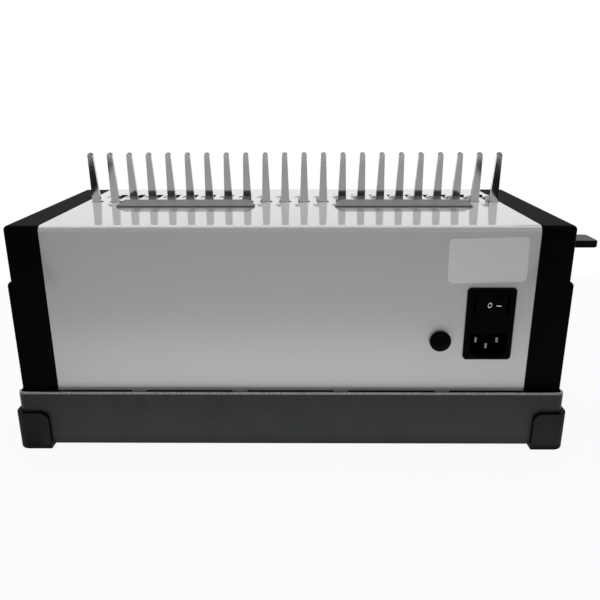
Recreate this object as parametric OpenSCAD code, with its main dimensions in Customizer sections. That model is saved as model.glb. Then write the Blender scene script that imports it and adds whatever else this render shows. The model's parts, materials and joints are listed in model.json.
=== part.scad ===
// Electric comb binding machine: punches a row of slots and opens plastic combs.
// X runs along the ring row, the user stands at -Y, Z is up from the table.
// The origin is at the middle of the whole machine's footprint, lever included.

/* [Ring row] */
// Rings on one comb, with one hook and one punch for each
ring_count = 21; // [19:1:23]
// Distance from ring to ring
ring_pitch = 14.2875; // [13.8:0.0125:14.8]
// Deck beyond the middle of each end finger
row_margin = 6.48; // [6:0.02:12]
// Shift of the row from the middle of the deck, towards the lever
row_shift = 1.95; // [0:0.05:1.95]

/* [Fingers] */
// Distance of the finger row from the rear panel
finger_line = 92.5; // [88:0.5:100]
// Height of a finger above the deck
finger_h = 37.3; // [25:0.1:45]
// Width of a finger at the deck
finger_base_w = 6.3; // [5:0.1:7]
// Width of a finger at its tip
finger_tip_w = 3.8; // [3:0.1:4.8]
// Thickness of the finger sheet
finger_t = 2.5; // [2:0.1:3]
// How far a finger's tip leans back from its foot
finger_lean = 5.2; // [3:0.1:7]
// Depth of a finger's shank below the deck
finger_shank = 18; // [14:0.5:20]
// Thickness of the bar that holds the fingers
finger_bar_t = 4; // [3:0.5:6]
// Gap between a finger and its hole in the deck
finger_hole_gap = 1.2; // [0.6:0.05:1.3]

/* [Hooks and puller] */
// Height of a hook above the deck
hook_h = 4.4; // [3.5:0.1:6]
// Thickness of a hook's arm
hook_t = 1.1; // [0.8:0.1:1.5]
// Width of a hook's stem along the row
hook_stem_w = 2; // [1.6:0.1:2.4]
// Depth of a hook, front to back
hook_d = 3.5; // [3:0.1:4]
// Length of a hook with its arm
hook_len = 4.6; // [4:0.1:5]
// Distance from a finger's middle to its hook
hook_offset = 2.4; // [2:0.1:2.6]
// Thickness of the puller plate
puller_t = 1.5; // [1.2:0.1:2]
// Depth of the puller plate, front to back
puller_d = 34; // [32:0.5:38]
// Gap between the deck and the puller plate
puller_gap = 0.6; // [0.4:0.1:1]
// Width of each guide rail under the plate's ends
rail_w = 5.5; // [4:0.5:7]
// Thickness of each guide rail
rail_t = 2; // [1.5:0.1:3]

/* [Lever and gears] */
// Angle that the lever swings through, degrees
lever_swing = 76; // [60:1:78]
// Module of all gear teeth
gear_module = 1.5; // [1.4:0.05:1.6]
// Teeth that a whole sector gear would have
sector_teeth = 28; // [26:1:30]
// Radius of the lever shaft and the eccentric shaft
shaft_r = 5; // [4.5:0.1:5.5]
// Distance of each sector gear from the middle
sector_x = 100; // [85:1:110]
// Width of the sector gears, racks and drive gear
gear_w = 8; // [6:0.5:9]
// Distance from the lever shaft back to the end of the grip
lever_len = 91; // [80:1:95]
// Depth of the lever's grip, front to back
grip_d = 21; // [16:0.5:40]
// Width of the lever's grip
grip_w = 26.5; // [20:0.5:32]
// Thickness of the lever's grip
grip_t = 5; // [4:0.5:8]
// Height of the grip's top above the shaft
grip_rise = 10.5; // [9.5:0.5:14]

/* [Punch] */
// Height of the paper table above the tray's rim
table_rise = 44.5; // [40:0.1:50]
// Gap that the paper goes into
paper_gap = 4.7; // [4.6:0.1:6]
// Length of a punch along the row
punch_w = 8; // [7:0.1:9]
// Thickness of a punch
punch_t = 3; // [2.5:0.1:3.5]
// Thickness of the die block
die_t = 9; // [8:0.5:12]
// Thickness of the punch guide
guide_t = 4.5; // [4:0.5:6]
// Depth of the die block, front to back
die_d = 19; // [18:0.5:22]
// Height of the punch bar
bar_h = 14; // [13:0.5:18]
// Depth of the punch bar, front to back
bar_d = 14; // [12:0.5:15]
// Gap between the bar's top corner and the sloping front
bar_headroom = 3.6; // [3:0.1:6]
// Distance from the punches' middle to the deck's front edge
punch_back = 23; // [22:0.5:26]
// Distance from the punches' middle to the front lip
lip_ahead = 19; // [17:0.5:22]
// Depth of the paper table in front of the lip
table_d = 50; // [45:1:70]
// Height of the mouth under the front lip
mouth_h = 7.5; // [6:0.5:10]

/* [Drive] */
// Throw of the eccentrics, half the punch stroke
throw = 5; // [4:0.1:5.2]
// Radius of the eccentric discs
disc_r = 11; // [10.8:0.1:11.5]
// Distance of each eccentric from the middle
disc_x = 60; // [40:1:66]
// Teeth of the drive gear
drive_teeth = 42; // [36:1:43]
// Teeth of the drive pinion
pinion_teeth = 15; // [15:1:17]
// Angle from the drive gear down and back to the pinion
pinion_angle = 27.3; // [24:0.1:34]
// Motor body radius
motor_r = 25; // [20:0.5:25]
// Motor body length
motor_len = 70; // [55:1:75]

/* [Housing] */
// Sheet thickness of the silver housing
sheet_t = 1.2; // [0.8:0.1:1.5]
// Outer radius of the bend between rear panel and deck
bend_r = 3.8; // [3:0.1:5]
// Width of each side cover
cover_w = 22.6; // [20:0.1:26]
// How far the lower part of a cover stands out
cover_step = 2.6; // [1.5:0.1:3]
// Height of that step above the tray's rim
cover_step_h = 75; // [60:0.1:76]
// Wall of the side covers
cover_wall = 2.5; // [2:0.1:2.6]
// Radius of the covers' outer edges
cover_r = 3; // [2.6:0.1:5]
// Thickness of the side frames
frame_t = 2; // [1.5:0.1:2]

/* [Base] */
// Height of the tray's rim above the table
tray_top = 41; // [40:0.1:48]
// How far the tray stands out behind and in front
tray_out = 5; // [4.5:0.1:8]
// How far the tray stands out at each side of a cover
tray_side_out = 3.7; // [3.2:0.1:4.4]
// Sheet thickness of the tray
tray_t = 1.5; // [1.2:0.1:2]
// Radius of the tray's corners
tray_r = 4.5; // [4:0.5:8]
// Height of the corner guards
guard_h = 27; // [20:1:34]
// Thickness of the corner guards
guard_t = 3; // [2.5:0.1:4]
// Floor of the guards, which the tray stands on
foot_t = 3; // [2.6:0.1:5]
// Length of a guard's leg along the rear
guard_leg = 23; // [18:1:28]
// Length of a guard's leg along the side
guard_side_leg = 34; // [25:1:40]

/* [Power inlet] */
// Distance of the inlet from the middle
inlet_x = 129.3; // [125:0.1:132]
// Height of the inlet's middle
inlet_z = 88.3; // [80:0.1:98]
// Width of the inlet's flange
inlet_w = 31.4; // [30:0.1:33]
// Height of the inlet's flange
inlet_h = 49.2; // [48:0.1:51]
// Distance of the fuse cap from the middle
fuse_x = 98.1; // [90:0.1:101]
// Height of the fuse cap's middle
fuse_z = 76.8; // [70:0.1:90]
// Radius of the fuse cap
fuse_r = 6.9; // [6.5:0.1:8]

/* [Drawer] */
// Distance of the chip drawer's sides from the side frames
drawer_margin = 16.5; // [12:0.5:50]
// Depth of the chip drawer
drawer_d = 106; // [90:1:110]
// Wall of the chip drawer
drawer_wall = 2; // [1.5:0.1:2.5]

/* [Clearances] */
// Gap of the punches in the guide, each side
punch_gap = 0.1; // [0.05:0.01:0.15]
// Gap of a shaft in its bush
running_gap = 0.04; // [0.02:0.01:0.08]
// Gap between sliding parts
slide_gap = 0.3; // [0.25:0.05:0.4]
// Gap between parts pressed or screwed together
seat_gap = 0.02; // [0.01:0.01:0.03]
// Backlash of the gear teeth
backlash = 0.25; // [0.2:0.05:0.4]
// Extra height of the yoke slot, which takes up the eccentric's sine motion
yoke_gap = 1.25; // [1.2:0.05:1.5]

/* [Hidden] */
$fn = 48;
// Overlap that lets one cut run through another
cut = 1;
// How far the rear panel and the table's front reach down into the tray
panel_dip = 0.4;
// Colours
silver = [0.72, 0.73, 0.74];
charcoal = [0.17, 0.18, 0.19];
black = [0.06, 0.06, 0.07];
steel = [0.62, 0.63, 0.65];
brass = [0.75, 0.62, 0.3];
board_green = [0.1, 0.35, 0.2];

// Widths along the row
body_w = ring_count * ring_pitch + 2 * row_margin;
half_w = body_w / 2;
cover_out = half_w + cover_w;
step_out = cover_out + cover_step;
tray_x = cover_out + tray_side_out;
guard_x = tray_x + guard_t;
lever_in = step_out + 0.8;
lever_out = lever_in + grip_w;
frame_x = (lever_out - guard_x) / 2;
frame_out = half_w + frame_t;
drawer_w = 2 * (half_w - drawer_margin);
rim_r = tray_t - 0.1;

// Depths behind the front, from the rear panel forwards
sector_r = gear_module * sector_teeth / 2;
hook_travel = sector_r * lever_swing * PI / 180;
puller_back = finger_line + finger_t / 2 + 1.25;
deck_d = puller_back + puller_d + hook_travel + 1.2;
punch_line = deck_d + punch_back;
lip_line = punch_line + lip_ahead;
body_d = lip_line + table_d;
rear_y = body_d / 2;
tray_y = rear_y + tray_out;
guard_y = tray_y + guard_t;
finger_y = rear_y - finger_line;
puller_y = rear_y - puller_back;
deck_y = rear_y - deck_d;
punch_y = rear_y - punch_line;
lip_y = rear_y - lip_line;
die_back_y = punch_y + die_d / 2;
die_front_y = punch_y - die_d / 2;
lever_y = puller_y - hook_travel - 2.9;

// Heights, from the table up
floor_z = foot_t + tray_t;
panel_z = tray_top - panel_dip;
table_z = tray_top + table_rise;
guide_z = table_z + paper_gap;
stroke = 2 * throw;
tip_rise = 0.7;
bar_z = guide_z + guide_t + stroke + 0.3;
bar_top = bar_z + bar_h;
deck_z = bar_top + punch_back + bar_d / 2 + bar_headroom;
slope_sum = deck_d + deck_z;
under_deck = deck_z - sheet_t;
puller_z = under_deck - puller_gap - puller_t;
rack_line = puller_z - 3.3;
lever_z = rack_line - sector_r;
lip_z = table_z + mouth_h;
slope_end_z = slope_sum - lip_line;

// Yokes and drive
yoke_wall = 4;
yoke_slot_h = 2 * (disc_r + yoke_gap);
yoke_slot_d = 2 * (disc_r + throw + 0.5);
yoke_h = yoke_slot_h + 2 * 5;
yoke_d = yoke_slot_d + 2 * yoke_wall;
yoke_y = die_back_y + 1 + yoke_d / 2;
yoke_z = bar_top - 1.7 - yoke_h / 2;
crank_z = yoke_z - throw;
drive_r = gear_module * drive_teeth / 2;
pinion_r = gear_module * pinion_teeth / 2;
gear_span = drive_r + pinion_r;
pinion_y = yoke_y + gear_span * cos(pinion_angle);
pinion_z = crank_z - gear_span * sin(pinion_angle);
gear_in = frame_out + 2;
pinion_shaft_r = 4;
pinion_reach = 20;
bush_r = shaft_r + 2.5;
gearbox_w = 36;
gearbox_front = 20;
gearbox_back = 40;
gearbox_h = 50;

// Screws and bosses of the side covers: [y, z]
boss_r = 5.5;
screw_r = 2;
cover_screw_spots = [[rear_y - 14, deck_z - 16], [rear_y - 14, tray_top + 14], [lip_y - 20, table_z - 18]];
// Guide posts of the punch bar, in notches at its ends
post_r = 2.5;
post_x = half_w - 3.3;
post_foot = 3.5;
post_top = bar_top + 1;

function finger_x(i) = (ring_count / 2 - i) * ring_pitch - row_shift;
function ring_x(i) = finger_x(i) - ring_pitch / 2;

// Involute teeth
press_angle = 20;
function inv(a) = tan(a) * 180 / PI - a;
function base_r(z) = gear_module * z / 2 * cos(press_angle);
function tip_r(z) = gear_module * (z / 2 + 0.9);
function root_r(z) = gear_module * (z / 2 - 1.25);
function flank(z, r) =
    90 / z - backlash / 4 / (gear_module * z / 2) * 180 / PI
    + inv(press_angle) - inv(acos(min(1, base_r(z) / r)));
function flank_radii(z) = [for (k = [0 : 5]) root_r(z) + (tip_r(z) - root_r(z)) * k / 5];
function polar(r, a) = [r * cos(a), r * sin(a)];
function tooth(z, a) = concat(
    [for (k = [0 : 5]) let (r = flank_radii(z)[k]) polar(r, a - flank(z, r))],
    [for (k = [5 : -1 : 0]) let (r = flank_radii(z)[k]) polar(r, a + flank(z, r))]);

module at_frame() {
    translate([frame_x, 0, 0]) children();
}

// Extrudes a [y, z] outline along X, centred
module along_x(w) {
    rotate([90, 0, 90]) linear_extrude(w, center = true) children();
}

// A cylinder along X from x0, w long, at [y, z]
module rod_x(r, x0, w, y, z) {
    translate([x0, y, z]) rotate([0, 90, 0]) cylinder(r = r, h = w);
}

// A cylinder along Y from y0, d long, at [x, z]
module rod_y(r, y0, d, x, z) {
    translate([x, y0, z]) rotate([-90, 0, 0]) cylinder(r = r, h = d);
}

module box(x0, x1, y0, y1, z0, z1) {
    translate([x0, y0, z0]) cube([x1 - x0, y1 - y0, z1 - z0]);
}

// Flat rectangle with round corners, centred
module rounded_rect(w, h, r) {
    square([w - 2 * r, h], center = true);
    square([w, h - 2 * r], center = true);
    for (x = [-1, 1])
        for (y = [-1, 1])
            translate([x * (w / 2 - r), y * (h / 2 - r)]) circle(r);
}

// Outline of a gear's teeth from the first to the last
module toothed_ring(z, first, last) {
    polygon(concat([[0, 0]], [for (k = [first : last]) each tooth(z, k * 360 / z)]));
}

module whole_gear(z) {
    polygon([for (k = [0 : z - 1]) each tooth(z, k * 360 / z)]);
}

// ---- Base ----

module tray_outline(grow) {
    rounded_rect(2 * (tray_x + grow), 2 * (tray_y + grow), tray_r + grow);
}

// What the rounding takes off an upper edge, its corner at the origin
module edge_waste(r) {
    difference() {
        translate([-r, -r]) square(r + cut);
        translate([-r, -r]) circle(r);
    }
}

// Waste of the rounding all round the tray's rim
module rim_waste() {
    for (s = [0, 1]) {
        mirror([0, s, 0]) translate([0, tray_y, tray_top]) along_x(2 * (tray_x - tray_r)) edge_waste(rim_r);
        mirror([s, 0, 0]) translate([tray_x, 0, tray_top]) rotate([90, 0, 0])
            linear_extrude(2 * (tray_y - tray_r), center = true) edge_waste(rim_r);
    }
    for (sx = [0, 1])
        for (sy = [0, 1])
            mirror([sx, 0, 0]) mirror([0, sy, 0])
                translate([tray_x - tray_r, tray_y - tray_r, tray_top]) intersection() {
                    rotate_extrude() translate([tray_r, 0]) edge_waste(rim_r);
                    translate([0, 0, -tray_r]) cube(2 * tray_r);
                }
}

module base_tray() {
    color(charcoal) at_frame() difference() {
        translate([0, 0, foot_t]) linear_extrude(tray_top - foot_t) tray_outline(0);
        translate([0, 0, floor_z]) linear_extrude(tray_top) tray_outline(-tray_t);
        rim_waste();
        box(-mouth_x, mouth_x, -tray_y - cut, -tray_y + tray_t + cut, floor_z, tray_top - mouth_lintel);
        for (spot = frame_screw_spots)
            for (s = [-1, 1])
                translate([s * spot[0], spot[1], 0]) cylinder(r = screw_r + 0.1, h = floor_z + cut);
        for (x = vent_xs)
            for (y = vent_ys)
                translate([x, y, foot_t - cut]) linear_extrude(tray_t + 2 * cut)
                    rounded_rect(vent_w, vent_d, vent_d / 2 - 0.1);
    }
}

// Air slots in the tray's floor, under the motor and the circuit board
vent_xs = [-110, 65, 105];
vent_ys = [for (k = [0 : 3]) rear_y - 40 - 12 * k];
vent_w = 30;
vent_d = 4;
// Mouth of the drawer in the tray's front wall
mouth_x = drawer_w / 2 + 2.5;
mouth_lintel = 4;
// Angle strips that the drawer runs between
strip_h = 10;
strip_w = 10;
strip_t = 1.5;
// Screws through the tray's floor into the side frames' feet
frame_foot_w = 12;
frame_screw_spots = [for (y = [rear_y - 37, 0, 37 - rear_y]) [frame_out + frame_foot_w / 2, y]];

// Outline of a guard's leg, upright, with its free top corner rounded
module guard_leg_outline(len, h) {
    corner = 6;
    square([len, h - corner]);
    translate([corner, 0]) square([len - corner, h]);
    translate([corner, h - corner]) circle(corner);
}

module corner_feet() {
    color(black) at_frame()
        for (sx = [0, 1])
            for (sy = [0, 1])
                mirror([sx, 0, 0]) mirror([0, sy, 0]) corner_foot();
}

module corner_foot() {
    intersection() {
        union() {
            linear_extrude(foot_t) tray_outline(guard_t);
            difference() {
                linear_extrude(guard_h) tray_outline(guard_t);
                translate([0, 0, -cut]) linear_extrude(guard_h + 2 * cut) tray_outline(0);
            }
        }
        union() {
            translate([guard_x - guard_leg, guard_y, 0]) rotate([90, 0, 0])
                linear_extrude(guard_t + tray_r) guard_leg_outline(guard_leg, guard_h);
            translate([guard_x - guard_t - tray_r, guard_y - guard_side_leg, 0]) rotate([90, 0, 90])
                linear_extrude(guard_t + tray_r) guard_leg_outline(guard_side_leg, guard_h);
            box(guard_x - guard_leg, guard_x, guard_y - guard_side_leg, guard_y, 0, foot_t);
        }
    }
}

module frame_screws() {
    color(steel) at_frame()
        for (spot = frame_screw_spots)
            for (s = [-1, 1])
                translate([s * spot[0], spot[1], 0]) {
                    translate([0, 0, foot_t - 1.8]) cylinder(r = 3.5, h = 1.8);
                    translate([0, 0, foot_t - 0.5]) cylinder(r = screw_r, h = tray_t + frame_t + 4);
                }
}

module drawer_guides() {
    inner = drawer_w / 2 + slide_gap;
    front = -tray_y + tray_t + 0.5;
    color(steel) at_frame()
        for (s = [0, 1])
            mirror([s, 0, 0]) {
                box(inner, inner + strip_t, front, -tray_y + drawer_d, floor_z, floor_z + strip_h);
                box(inner, inner + strip_w, front, -tray_y + drawer_d, floor_z, floor_z + strip_t);
            }
}

// ---- Chip drawer ----

// Finger recess in the drawer's front, and the pull above it
recess_w = 70;
recess_h = 14;
recess_r = 4;
pull_w = 66;

module chip_drawer() {
    front = -tray_y;
    low = floor_z + slide_gap;
    high = tray_top - 7;
    inner_x = drawer_w / 2 - drawer_wall;
    color(black) at_frame() union() {
        difference() {
            box(-drawer_w / 2, drawer_w / 2, front, front + drawer_d, low, high);
            box(-inner_x, inner_x, front + drawer_wall + 1, front + drawer_d - drawer_wall,
                low + drawer_wall, high + cut);
        }
        difference() {
            box(-mouth_x + 0.5, mouth_x - 0.5, front - 0.6, front + 2, low + 0.2,
                tray_top - mouth_lintel - 0.5);
            translate([0, front - 3, (low + high) / 2]) rotate([-90, 0, 0])
                linear_extrude(4) rounded_rect(recess_w, recess_h, recess_r);
        }
        along_x(pull_w) polygon([[front + 1, high - 8], [front - 2.4, high - 4], [front - 2.4, high - 2.5],
            [front + 1, high - 2.5]]);
    }
}

// ---- Silver housing ----

// Side view of the bent sheet: rear panel, bend, deck, slope and front lip
module housing_outline() {
    slant = sheet_t * sqrt(2);
    bend_y = rear_y - bend_r;
    in_y = lip_y + sheet_t;
    polygon([[bend_y, deck_z], [deck_y, deck_z], [lip_y, slope_end_z], [lip_y, lip_z], [in_y, lip_z],
        [in_y, slope_sum - rear_y + in_y - slant], [deck_y + slant - sheet_t, under_deck],
        [bend_y, under_deck]]);
    translate([rear_y - sheet_t, panel_z]) square([sheet_t, deck_z - bend_r - panel_z]);
    translate([bend_y, deck_z - bend_r]) intersection() {
        difference() {
            circle(bend_r);
            circle(bend_r - sheet_t);
        }
        square(bend_r + cut);
    }
}

// Room of a finger's hole behind and in front of the finger
hole_behind = 0.35;
hole_ahead = 3.5;
// Room of a hook's slot on each side of the stem, behind the finger and past the hook's last place
slot_gap = 0.4;
slot_behind = 0.75;
slot_ahead = 1.6;

module deck_cuts() {
    hole_w = finger_base_w + 2 * finger_hole_gap;
    back = finger_y + finger_t / 2;
    slot_w = hook_offset + hook_stem_w + slot_gap;
    for (i = [0 : ring_count]) {
        x = finger_x(i);
        box(x - hole_w / 2, x + hole_w / 2, back - finger_t - hole_ahead, back + hole_behind,
            under_deck - cut, deck_z + cut);
        if (i > 0)
            box(x - slot_gap, x + slot_w, puller_y - hook_d - hook_travel - slot_ahead, back + slot_behind,
                under_deck - cut, deck_z + cut);
    }
}

// Middle of the cut-outs in the rear panel and of what sits in them
lug_xs = [-102, -34, 34, 102];
lug_w = 10;
lug_h = 8;
inlet_body_w = inlet_w - 4;
inlet_body_h = inlet_h - 2.2;
fuse_body_r = 6;

module top_housing() {
    flange_h = 12;
    color(silver) at_frame() difference() {
        union() {
            along_x(body_w) housing_outline();
            for (x = lug_xs) {
                box(x - lug_w / 2, x + lug_w / 2, rear_y - sheet_t, rear_y, panel_z - lug_h, panel_z + cut);
                box(x - lug_w / 2, x + lug_w / 2, rear_y - sheet_t, tray_y - tray_t, panel_z - lug_h,
                    panel_z - lug_h + sheet_t);
            }
            for (s = [0, 1])
                mirror([s, 0, 0])
                    box(half_w - sheet_t, half_w, finger_y + 14, rear_y - 16, under_deck - flange_h,
                        under_deck + sheet_t / 2);
        }
        deck_cuts();
        box(-inlet_x - inlet_body_w / 2 - 0.1, -inlet_x + inlet_body_w / 2 + 0.1, rear_y - 2 * sheet_t,
            rear_y + cut, inlet_z - inlet_body_h / 2 - 0.1, inlet_z + inlet_body_h / 2 + 0.1);
        rod_y(fuse_body_r + 0.1, rear_y - 2 * sheet_t, 4 * sheet_t, -fuse_x, fuse_z);
    }
}

// ---- Side covers ----

// A block from the body's side to x1, with its outer edges rounded.
// tops are the middles of the rounded upper edges, [y, z].
module cover_block(x1, back, front, tops, r) {
    hull() {
        for (t = tops) {
            translate([x1 - r, t[0], t[1]]) sphere(r, $fn = 24);
            rod_x(r, half_w, 1, t[0], t[1], $fn = 24);
        }
        for (y = [front + r, back - r])
            translate([x1 - r, y, tray_top]) cylinder(r = r, h = 1, $fn = 24);
        box(half_w, half_w + 1, front, back, tray_top, tray_top + 1);
    }
}

// Middles of the edge arcs of radius r, inset c from the cover's outside
function rear_tops(r, c) = let (s = r + c, turn = (r + c) * (sqrt(2) - 1)) [
    [rear_y - s, deck_z - s],
    [deck_y + turn, deck_z - s],
    [lip_y - 3 + s, slope_end_z - 3 - turn]];
function front_tops(r, c) = [
    [lip_y + 10, lip_z - r - c],
    [-rear_y + r + c, lip_z - 3 - r - c]];

module side_cover() {
    inner_r = 1;
    hollow_x = cover_out - cover_wall;
    difference() {
        union() {
            difference() {
                union() {
                    cover_block(cover_out, rear_y, lip_y - 3, rear_tops(cover_r, 0), cover_r);
                    cover_block(cover_out, lip_y + 12, -rear_y, front_tops(cover_r, 0), cover_r);
                    cover_block(step_out, rear_y, -rear_y,
                        [[rear_y - cover_r, tray_top + cover_step_h - cover_r],
                         [lip_y + 12, tray_top + cover_step_h - cover_r],
                         [lip_y - 3 + cover_r, lip_z - 8 - cover_r],
                         [-rear_y + cover_r, lip_z - 10 - cover_r]], cover_r);
                }
                hull()
                    for (t = rear_tops(inner_r, cover_wall))
                        rod_x(inner_r, half_w - cut, hollow_x - half_w + cut, t[0], t[1]);
                along_hollow() polygon([
                    [rear_y - cover_wall, tray_top - cut],
                    [rear_y - cover_wall, deck_z - cover_wall - inner_r],
                    [lip_y - 3 + cover_wall, slope_end_z - 3 - cover_wall],
                    [lip_y - 3 + cover_wall, lip_z - cover_wall],
                    [-rear_y + cover_wall, lip_z - 3 - cover_wall], [-rear_y + cover_wall, tray_top - cut]]);
            }
            for (spot = cover_screw_spots)
                rod_x(boss_r, frame_out, hollow_x - frame_out + 1, spot[0], spot[1]);
        }
        for (spot = cover_screw_spots) {
            rod_x(screw_r + 0.2, frame_out - cut, step_out - frame_out + 2, spot[0], spot[1]);
            rod_x(4.2, cover_out - 2.4, cover_step + 10, spot[0], spot[1]);
        }
    }
}

// Extrudes the hollow of a cover from the body's side to the cover's wall
module along_hollow() {
    translate([half_w - cut, 0, 0]) rotate([90, 0, 90])
        linear_extrude(cover_w - cover_wall + cut) children();
}

module right_side_cover() {
    color(black) at_frame() side_cover();
}

// The punch button's place on the left cover's slope
button_r = 6;
button_x = (frame_out + cover_out - cover_wall) / 2;
button_y = punch_y;
button_z = slope_sum - (rear_y - button_y);
button_travel = 2.5;

module at_button() {
    translate([-button_x, button_y, button_z]) rotate([45, 0, 0]) children();
}

module left_side_cover() {
    color(black) at_frame() difference() {
        mirror([1, 0, 0]) side_cover();
        rod_x(shaft_r + 2, -step_out - cut, cover_w + cover_step + 2 * cut, lever_y, lever_z);
        at_button() translate([0, 0, -8]) cylinder(r = button_r + slide_gap, h = 16);
    }
}

module cover_screws() {
    head_x = cover_out - 2.4;
    color(steel) at_frame()
        for (s = [0, 1])
            mirror([s, 0, 0])
                for (spot = cover_screw_spots) {
                    rod_x(3.6, head_x, 2, spot[0], spot[1]);
                    rod_x(screw_r, half_w - 3, head_x - half_w + 3.5, spot[0], spot[1]);
                }
}

module punch_button() {
    color([0.25, 0.45, 0.3]) at_frame() at_button() {
        rotate_extrude()
            polygon([[0, -5], [button_r - 0.1, -5], [button_r - 0.1, 2.4], [button_r - 0.9, 3.2],
                [button_r - 2.5, 3.2], [button_r - 4, 2.8], [0, 2.8]]);
        translate([0, 0, -7]) cylinder(r = button_r + 1.1, h = 2.2);
        translate([0, 0, -13]) cylinder(r = 2.5, h = 7);
    }
}

module button_switch() {
    top = -13 - button_travel - 0.3;
    color(black) at_frame() at_button() {
        translate([-4, -8, top - 10]) cube([button_x - frame_out + 4, 16, 10]);
        translate([-1.5, -6, top]) cube([3, 9, 0.3]);
    }
}

// ---- Paper table ----

module table_outline() {
    t = 2;
    r = 4;
    square_d = die_front_y + rear_y - r;
    translate([-rear_y + r, table_z - t]) square([square_d, t]);
    translate([-rear_y, panel_z]) square([t, table_z - r - panel_z]);
    translate([-rear_y + r, table_z - r]) intersection() {
        difference() {
            circle(r);
            circle(r - t);
        }
        translate([-r - cut, 0]) square(r + cut);
    }
}

guide_y = -rear_y + 24;
guide_travel = 10;
fence_x = half_w - 7;
fence_t = 4;
fence_d = 19;
fence_h = 12;
fence_slope = 9;
fence_stem_d = 8;

module paper_table() {
    color(charcoal) at_frame() difference() {
        along_x(body_w) table_outline();
        box(-fence_x - fence_t / 2 - slide_gap, -fence_x + fence_t / 2 + guide_travel + slide_gap,
            guide_y - fence_stem_d / 2 - slide_gap, guide_y + fence_stem_d / 2 + slide_gap,
            table_z - 3, table_z + cut);
    }
}

module edge_guide() {
    foot = table_z + slide_gap;
    top = table_z + fence_h;
    color(black) at_frame() {
        translate([-fence_x, guide_y, 0]) {
            along_x(fence_t) polygon([[-fence_d, foot], [fence_d, foot], [fence_d - 2, top - 4],
                [fence_d - fence_slope, top], [3 - fence_d, top], [-fence_d, top - 3]]);
            box(-fence_t / 2, fence_t / 2, -fence_stem_d / 2, fence_stem_d / 2, table_z - 3.5, table_z + 1);
            box(-4.5, 4.5, -fence_stem_d, fence_stem_d, table_z - 5, table_z - 2 - slide_gap);
        }
    }
}

// ---- Fingers and comb rests ----

module finger() {
    tip_r = finger_tip_w / 2;
    lean = atan(finger_lean / finger_h);
    translate([-finger_base_w / 2, -finger_t / 2, deck_z - sheet_t - finger_shank])
        cube([finger_base_w, finger_t, finger_shank + sheet_t]);
    translate([0, 0, deck_z]) rotate([-lean, 0, 0]) rotate([90, 0, 0])
        linear_extrude(finger_t, center = true) {
            polygon([[-finger_base_w / 2, -0.15], [finger_base_w / 2, -0.15],
                [tip_r, finger_h - tip_r], [-tip_r, finger_h - tip_r]]);
            translate([0, finger_h - tip_r]) circle(tip_r);
        }
}

module comb_fingers() {
    color(steel) at_frame()
        for (i = [0 : ring_count])
            translate([finger_x(i), finger_y, 0]) finger();
}

module finger_bar() {
    low = under_deck - finger_shank - 2;
    color(steel) at_frame() difference() {
        box(-half_w, half_w, finger_y + finger_t / 2, finger_y + finger_t / 2 + finger_bar_t,
            low, under_deck - 1.5);
        for (i = [0 : ring_count])
            rod_y(1.6, finger_y, finger_t + finger_bar_t + cut, finger_x(i), under_deck - finger_shank / 2);
    }
}

// Comb rests: low bars with a sloping rear face and hipped ends, [first, last] x at the foot
rest_spans = [[26.8, 127.2], [-131, -31.7]];
rest_line = 69.6;
rest_d = 6;
rest_crest = 1;
rest_h = 4.45;
rest_edge = 0.9;
rest_hip = 4.9;

module comb_rests() {
    y0 = rear_y - rest_line;
    y1 = y0 - rest_d;
    top = deck_z + rest_h;
    color(steel) at_frame()
        for (span = rest_spans)
            intersection() {
                along_x(body_w) polygon([[y0, deck_z], [y0, deck_z + rest_edge], [y1, top],
                    [y1 - rest_crest, top], [y1 - rest_crest, deck_z]]);
                translate([0, y0 + cut, 0]) rotate([90, 0, 0]) linear_extrude(rest_d + rest_crest + 2 * cut)
                    polygon([[span[0], deck_z], [span[0], deck_z + rest_edge], [span[0] + rest_hip, top],
                        [span[1] - rest_hip, top], [span[1], deck_z + rest_edge], [span[1], deck_z]]);
            }
}

// ---- Side frames ----

// Side view of a frame, c inside the cover's outside
module frame_outline(c) {
    slant = c * sqrt(2);
    top = deck_z - c;
    front_top = table_z - 2 - 0.5;
    polygon([[rear_y - c, floor_z], [rear_y - c, top], [rear_y - slope_sum + slant + top, top],
        [lip_y + c, slope_sum - slant - rear_y + lip_y + c], [lip_y + c, front_top],
        [-rear_y + c, front_top], [-rear_y + c, floor_z]]);
}

// Weight-saving windows in a frame: [y, z, depth, height]
window_d = 24;
window_h = 50;
low_window_h = 20;
frame_windows = [[rear_y - 16 - window_d / 2, deck_z - 27 - window_h / 2, window_d, window_h],
    [0, floor_z + 12 + low_window_h / 2, body_d * 0.6, low_window_h]];

module side_frame() {
    inset = cover_wall + 0.7;
    difference() {
        union() {
            translate([half_w, 0, 0]) rotate([90, 0, 90]) linear_extrude(frame_t) frame_outline(inset);
            box(half_w, frame_out + frame_foot_w, -rear_y + inset, rear_y - inset,
                floor_z, floor_z + frame_t);
        }
        for (hole = [[lever_y, lever_z], [yoke_y, crank_z]])
            rod_x(bush_r + seat_gap, half_w - cut, frame_t + 2 * cut, hole[0], hole[1]);
        for (spot = cover_screw_spots)
            rod_x(screw_r + 0.1, half_w - cut, frame_t + 2 * cut, spot[0], spot[1]);
        for (spot = frame_screw_spots)
            translate([spot[0], spot[1], floor_z - cut]) cylinder(r = screw_r + 0.1, h = frame_t + 2 * cut);
        rod_x(pinion_shaft_r + 2, half_w - cut, frame_t + 2 * cut, pinion_y, pinion_z);
        for (w = frame_windows)
            translate([half_w - cut, w[0], w[1]]) rotate([90, 0, 90])
                linear_extrude(frame_t + 2 * cut) rounded_rect(w[2], w[3], 5);
    }
}

module left_side_frame() {
    color(steel) at_frame() mirror([1, 0, 0]) side_frame();
}

module right_side_frame() {
    color(steel) at_frame() side_frame();
}

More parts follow.
